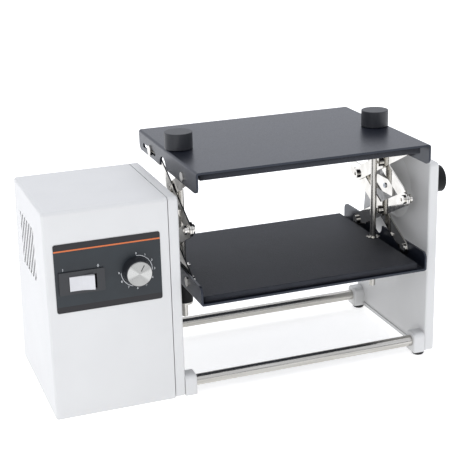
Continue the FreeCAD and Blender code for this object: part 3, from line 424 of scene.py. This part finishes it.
def rubber_sheet(source):
    """Mat with rounded edges, a U notch round each guide rod and a tab at its left front."""
    low, high = (Vector(corner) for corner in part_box(source))
    rods = []
    for rod in ("rod_left", "rod_right"):
        rod_low, rod_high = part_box(rod)
        rods.append((rod_low[0] + rod_high[0]) / 2)
    left_end = rods[0] + rods[1] - high.x
    outline = [(low.x, low.y), (high.x, low.y)]
    for side, rod_x, end in ((1, rods[1], high.x), (-1, rods[0], left_end)):
        outline.append((end, -side * MAT_NOTCH))
        for step in range(13):
            turn = math.radians(-90 + 15 * step)
            outline.append((rod_x - side * MAT_NOTCH * math.cos(turn), side * MAT_NOTCH * math.sin(turn)))
        outline.append((end, side * MAT_NOTCH))
        if side > 0:
            outline += [(high.x, high.y), (left_end, high.y)]
    outline += [(left_end, MAT_TAB_Y), (low.x, MAT_TAB_Y)]
    bm = bmesh.new()
    face = bm.faces.new([bm.verts.new((x, y, low.z)) for x, y in outline])
    grown = bmesh.ops.extrude_face_region(bm, geom=[face])
    risen = [g for g in grown["geom"] if isinstance(g, bmesh.types.BMVert)]
    bmesh.ops.translate(bm, verts=risen, vec=(0, 0, high.z - low.z))
    bmesh.ops.recalc_face_normals(bm, faces=bm.faces)
    flat = [f for f in bm.faces if abs(f.normal.z) > 0.9]
    rim = {e for f in flat for e in f.edges}
    bmesh.ops.bevel(bm, geom=list(rim), offset=MAT_EDGE, offset_type="OFFSET", affect="EDGES",
                    segments=3, profile=0.5, material=-1, clamp_overlap=True)
    for face in bm.faces:
        face.smooth = abs(face.normal.z) < 0.99
    bmesh.ops.triangulate(bm, faces=[f for f in bm.faces if len(f.verts) > 4])
    return bm


def text_mesh(words, height):
    """Flat lettering as a bmesh in the foil's plane, centred on the origin and facing -Y."""
    curve = bpy.data.curves.new("mark", "FONT")
    curve.body = words
    curve.size = height / CAP_PART
    curve.extrude = PRINT_T / 2
    curve.align_x = "CENTER"
    holder = bpy.data.objects.new("mark", curve)
    mesh = bpy.data.meshes.new_from_object(holder)
    bm = bmesh.new()
    bm.from_mesh(mesh)
    bpy.data.objects.remove(holder)
    bpy.data.curves.remove(curve)
    bpy.data.meshes.remove(mesh)
    bmesh.ops.remove_doubles(bm, verts=bm.verts, dist=0.002 * MM)
    low = min(v.co.y for v in bm.verts)
    high = max(v.co.y for v in bm.verts)
    bmesh.ops.translate(bm, verts=bm.verts, vec=(0, -(low + high) / 2, 0))
    bmesh.ops.rotate(bm, verts=bm.verts, cent=(0, 0, 0), matrix=Matrix.Rotation(math.pi / 2, 3, "X"))
    return bm


def gather(target, part, offset):
    """Add a bmesh to another at an offset."""
    bmesh.ops.translate(part, verts=part.verts, vec=offset)
    mesh = bpy.data.meshes.new("gather")
    part.to_mesh(mesh)
    part.free()
    target.from_mesh(mesh)
    bpy.data.meshes.remove(mesh)


def print_plane():
    """Y of the middle of the print's thickness."""
    return FOIL_LOW[1] - PRINT_LIFT - PRINT_T / 2


def dial_scale(settings):
    """Digits round the dial with the thin arc inside them."""
    bm = bmesh.new()
    for digit in range(10):
        angle = math.radians(30 * digit)
        place = (DIAL_X + settings.digit_radius * math.sin(angle), print_plane(),
                 DIAL_Z + settings.digit_radius * math.cos(angle))
        gather(bm, text_mesh(str(digit), settings.digit_height * CAP_PART), place)
    ring = bmesh.new()
    half = settings.arc_width / 2
    corners = [(settings.arc_radius - half, -PRINT_T / 2), (settings.arc_radius + half, -PRINT_T / 2),
               (settings.arc_radius + half, PRINT_T / 2), (settings.arc_radius - half, PRINT_T / 2)]
    verts = [ring.verts.new((0, y, r)) for r, y in corners]
    face = ring.faces.new(verts)
    bmesh.ops.spin(ring, geom=[face], cent=(0, 0, 0), axis=(0, 1, 0), angle=math.radians(270), steps=72,
                   use_merge=False, use_duplicate=False)
    bmesh.ops.recalc_face_normals(ring, faces=ring.faces)
    gather(bm, ring, (DIAL_X, print_plane(), DIAL_Z))
    return bm


def strip(low, high, edge):
    """Thin bar between two corners with eased edges."""
    bm = bmesh.new()
    bmesh.ops.create_cube(bm, size=1.0)
    size = Vector(high) - Vector(low)
    bmesh.ops.scale(bm, verts=bm.verts, vec=size)
    bmesh.ops.translate(bm, verts=bm.verts, vec=(Vector(low) + Vector(high)) / 2)
    bmesh.ops.bevel(bm, geom=bm.edges[:], offset=edge, offset_type="OFFSET", affect="EDGES", segments=1,
                    profile=0.5, material=-1, clamp_overlap=True)
    return bm


def area_light(name, place, aim, size, power):
    """Rectangular studio light turned to an aim point."""
    light = bpy.data.lights.new(name, "AREA")
    light.shape = "RECTANGLE"
    light.size = size[0]
    light.size_y = size[1]
    light.energy = power
    lamp = bpy.data.objects.new(name, light)
    lamp.location = place
    lamp.rotation_euler = (Vector(aim) - Vector(place)).to_track_quat("-Z", "Y").to_euler()
    bpy.context.scene.collection.objects.link(lamp)


# ---- operators -----------------------------------------------------------------------------------------
class SHAKER_OT_body(bpy.types.Operator):
    """Coat the housing, both cheeks and the base"""
    bl_idname = "shaker.body"
    bl_label = "Body"

    def execute(self, context):
        coat = powder_coated_sheet(context.scene.shaker_paint.coat)
        dress(coat, "housing_cover", "base_plate", "cheek_left", "cheek_right", "cheek_cover_right")
        dress(moulded_foot_rubber(), "feet")
        return {"FINISHED"}


class SHAKER_OT_bars(bpy.types.Operator):
    """Finish the cross tubes, guide rods, shafts and screws"""
    bl_idname = "shaker.bars"
    bl_label = "Bars and screws"

    def execute(self, context):
        along_x = drawn_stainless("drawn_stainless_tube", (0.01, 1, 1))
        dress(along_x, "cross_tubes", "drive_shaft", "tail_shaft")
        upright = drawn_stainless("drawn_stainless_rod", (1, 1, 0.01))
        dress(upright, "rod_left", "rod_right", "sleeve_rings")
        dress(zinc_plated_screws(), "hub_screws", "cheek_cover_screws", "tube_bolts", "board_posts")
        return {"FINISHED"}


class SHAKER_OT_scissors(bpy.types.Operator):
    """Finish the scissor links, hub plates and pins"""
    bl_idname = "shaker.scissors"
    bl_label = "Scissor links"

    def execute(self, context):
        steel = polished_stainless()
        for side in ("left", "right"):
            for kind in ("rise", "top", "fall", "low"):
                dress(steel, "link_" + kind + "_" + side)
        dress(steel, "hub_plates", "hub_pins", "upper_pins", "lower_pins", "rod_bushes")
        return {"FINISHED"}


class SHAKER_OT_plates(bpy.types.Operator):
    """Coat the clamping plates and lay the rubber mats"""
    bl_idname = "shaker.plates"
    bl_label = "Clamping plates"

    def execute(self, context):
        paint = context.scene.shaker_paint
        dress(satin_black_plate(paint.plates), "upper_plate", "lower_plate")
        rubber = nitrile_rubber_mat(paint.mats)
        for name, source, body in (("lower_rubber_sheet", "lower_mat", "lower_clamp"),
                                   ("upper_rubber_sheet", "upper_mat", "upper_clamp")):
            sheet = new_piece(name, rubber_sheet(source), rubber, body)
            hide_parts(source)
        return {"FINISHED"}


class SHAKER_OT_knobs(bpy.types.Operator):
    """Finish the knobs and the guide sleeves"""
    bl_idname = "shaker.knobs"
    bl_label = "Knobs"

    def execute(self, context):
        dress(moulded_black_plastic("moulded_knob_nylon", "212328", 0.44), "knob_left", "knob_right")
        dress(moulded_black_plastic("moulded_grip_nylon", "0E0E10", 0.55, 1.3), "hand_knob", "rod_sleeves")
        return {"FINISHED"}


class SHAKER_OT_controls(bpy.types.Operator):
    """Finish and print the control foil, its rocker and its dial"""
    bl_idname = "shaker.controls"
    bl_label = "Controls"

    def execute(self, context):
        settings = context.scene.shaker_print
        dress(printed_polyester_foil(), "control_foil")
        dress(moulded_black_plastic("moulded_switch_frame", "1E2024", 0.38), "switch_frame", "dial_skirt")
        dress(glossy_white_plastic(), "rocker")
        dress(spun_aluminium(), "dial_cap")
        white = screen_ink("white_screen_ink", "E4E6E8")
        orange = screen_ink("coloured_screen_ink", context.scene.shaker_paint.line)
        new_piece("dial_scale_print", dial_scale(settings), white, "frame")
        mark_z = SWITCH_HIGH[2] + MARK_HEIGHT
        marks = bmesh.new()
        gather(marks, text_mesh("I", MARK_HEIGHT), (SWITCH_LOW[0] + MARK_LEFT_IN, print_plane(), mark_z))
        gather(marks, text_mesh("0", MARK_HEIGHT), (SWITCH_HIGH[0] - MARK_RIGHT_IN, print_plane(), mark_z))
        new_piece("switch_marks_print", marks, white, "frame")
        line_z = FOIL_HIGH[2] - settings.line_drop
        half = settings.line_width / 2
        line = strip((FOIL_LOW[0] + LINE_END_GAP, print_plane() - PRINT_T / 2, line_z - half),
                     (FOIL_HIGH[0] - LINE_END_GAP, print_plane() + PRINT_T / 2, line_z + half), 0.01 * MM)
        new_piece("foil_line_print", line, orange, "frame")
        cap_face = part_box("dial_cap")[0][1]
        pointer = strip((DIAL_X - POINTER_HALF_W, cap_face + POINTER_DEPTH[0], DIAL_Z + POINTER_REACH[0]),
                        (DIAL_X + POINTER_HALF_W, cap_face + POINTER_DEPTH[1], DIAL_Z + POINTER_REACH[1]),
                        0.08 * MM)
        bmesh.ops.rotate(pointer, verts=pointer.verts, cent=(DIAL_X, 0, DIAL_Z),
                         matrix=Matrix.Rotation(math.radians(POINTER_TURN), 3, "Y"))
        new_piece("dial_pointer_fill", pointer, screen_ink("black_paint_fill", "17181A"), "speed_dial")
        return {"FINISHED"}


class SHAKER_OT_drive(bpy.types.Operator):
    """Finish the drive and the electrical pieces inside the housing"""
    bl_idname = "shaker.drive"
    bl_label = "Drive"

    def execute(self, context):
        dress(cast_aluminium(), "gear_case", "rotor_pulley", "motor_pulley", "speed_pot", "bearings")
        dress(moulded_black_plastic("belt_rubber", "18181A", 0.6), "drive_belt")
        dress(drawn_stainless("zinc_motor_can", (0.02, 1, 1)), "motor_body")
        dress(solder_mask_board(), "control_board")
        dress(moulded_black_plastic("moulded_inlet", "1B1C1E", 0.4), "power_inlet")
        return {"FINISHED"}


class SHAKER_OT_stage(bpy.types.Operator):
    """Lay the floor, the studio light and the camera"""
    bl_idname = "shaker.stage"
    bl_label = "Stage"

    def execute(self, context):
        scene = context.scene
        studio = scene.shaker_studio
        floor_mat, shader = new_finish("pale_paper_floor", Roughness=0.9, IOR=1.3,
                                       Emission_Color=(1.0, 1.0, 1.0, 1.0),
                                       Emission_Strength=studio.floor_fill)
        link(floor_mat, tint(floor_mat, grain(floor_mat, place_on(floor_mat), 80.0), "EDEDED", "F1F1F1"),
             shader, "Base Color")
        bm = bmesh.new()
        bmesh.ops.create_grid(bm, x_segments=4, y_segments=4, size=FLOOR_SIZE)
        mesh = bpy.data.meshes.new("floor")
        bm.to_mesh(mesh)
        bm.free()
        mesh.materials.append(floor_mat)
        floor = bpy.data.objects.new("floor", mesh)
        scene.collection.objects.link(floor)
        world = bpy.data.worlds.new("studio")
        world.use_nodes = True
        coord = add_node(world, "ShaderNodeTexCoord")
        split = add_node(world, "ShaderNodeSeparateXYZ", {"Vector": coord.outputs["Generated"]})
        both = add_node(world, "ShaderNodeMath", {0: split.outputs["Y"], 1: split.outputs["Z"]},
                        operation="MAXIMUM")
        level = add_node(world, "ShaderNodeMapRange", {"Value": both.outputs[0], "From Min": 0.0,
                                                       "From Max": WORLD_SPLIT, "To Min": studio.room,
                                                       "To Max": studio.backdrop})
        world.node_tree.links.new(level.outputs["Result"],
                                  world.node_tree.nodes["Background"].inputs["Strength"])
        world.node_tree.nodes["Background"].inputs["Color"].default_value = WORLD_TINT
        scene.world = world
        area_light("overhead", (0.07, -0.2, 2.2), (0.02, 0.0, 0.2), (2.2, 1.6), studio.key)
        area_light("front_left", (-1.63, -1.6, 1.1), (-0.03, 0.0, 0.2), (1.2, 1.2), studio.side)
        lens = bpy.data.cameras.new("camera")
        lens.sensor_width = CAMERA_SENSOR
        lens.lens = CAMERA_LENS
        lens.clip_end = 50.0
        camera = bpy.data.objects.new("camera", lens)
        turn = Matrix((CAMERA_RIGHT, CAMERA_UP, -Vector(CAMERA_VIEW))).transposed().to_4x4()
        camera.matrix_world = Matrix.Translation(CAMERA_PLACE) @ turn
        scene.collection.objects.link(camera)
        scene.camera = camera
        scene.view_settings.view_transform = "Standard"
        return {"FINISHED"}


class SHAKER_PT_panel(bpy.types.Panel):
    """Sidebar panel with the shaker's steps"""
    bl_idname = "SHAKER_PT_panel"
    bl_label = "Overhead shaker"
    bl_space_type = "VIEW_3D"
    bl_region_type = "UI"
    bl_category = "Shaker"

    def draw(self, context):
        for group in (context.scene.shaker_paint, context.scene.shaker_print, context.scene.shaker_studio):
            box = self.layout.box()
            for name in group.bl_rna.properties.keys():
                if name not in ("rna_type", "name"):
                    box.prop(group, name)
        for step in STEPS:
            self.layout.operator(step.bl_idname)


STEPS = (SHAKER_OT_body, SHAKER_OT_bars, SHAKER_OT_scissors, SHAKER_OT_plates, SHAKER_OT_knobs,
         SHAKER_OT_controls, SHAKER_OT_drive, SHAKER_OT_stage)
GROUPS = (("shaker_print", ShakerPrint), ("shaker_paint", ShakerPaint), ("shaker_studio", ShakerStudio))


def register():
    for name, group in GROUPS:
        bpy.utils.register_class(group)
        setattr(bpy.types.Scene, name, bpy.props.PointerProperty(type=group))
    for cls in STEPS + (SHAKER_PT_panel,):
        bpy.utils.register_class(cls)


def unregister():
    for cls in (SHAKER_PT_panel,) + STEPS[::-1]:
        bpy.utils.unregister_class(cls)
    for name, group in GROUPS[::-1]:
        delattr(bpy.types.Scene, name)
        bpy.utils.unregister_class(group)


def main():
    register()
    for step in STEPS:
        area, name = step.bl_idname.split(".")
        getattr(getattr(bpy.ops, area), name)()


if __name__ == "__main__":
    main()
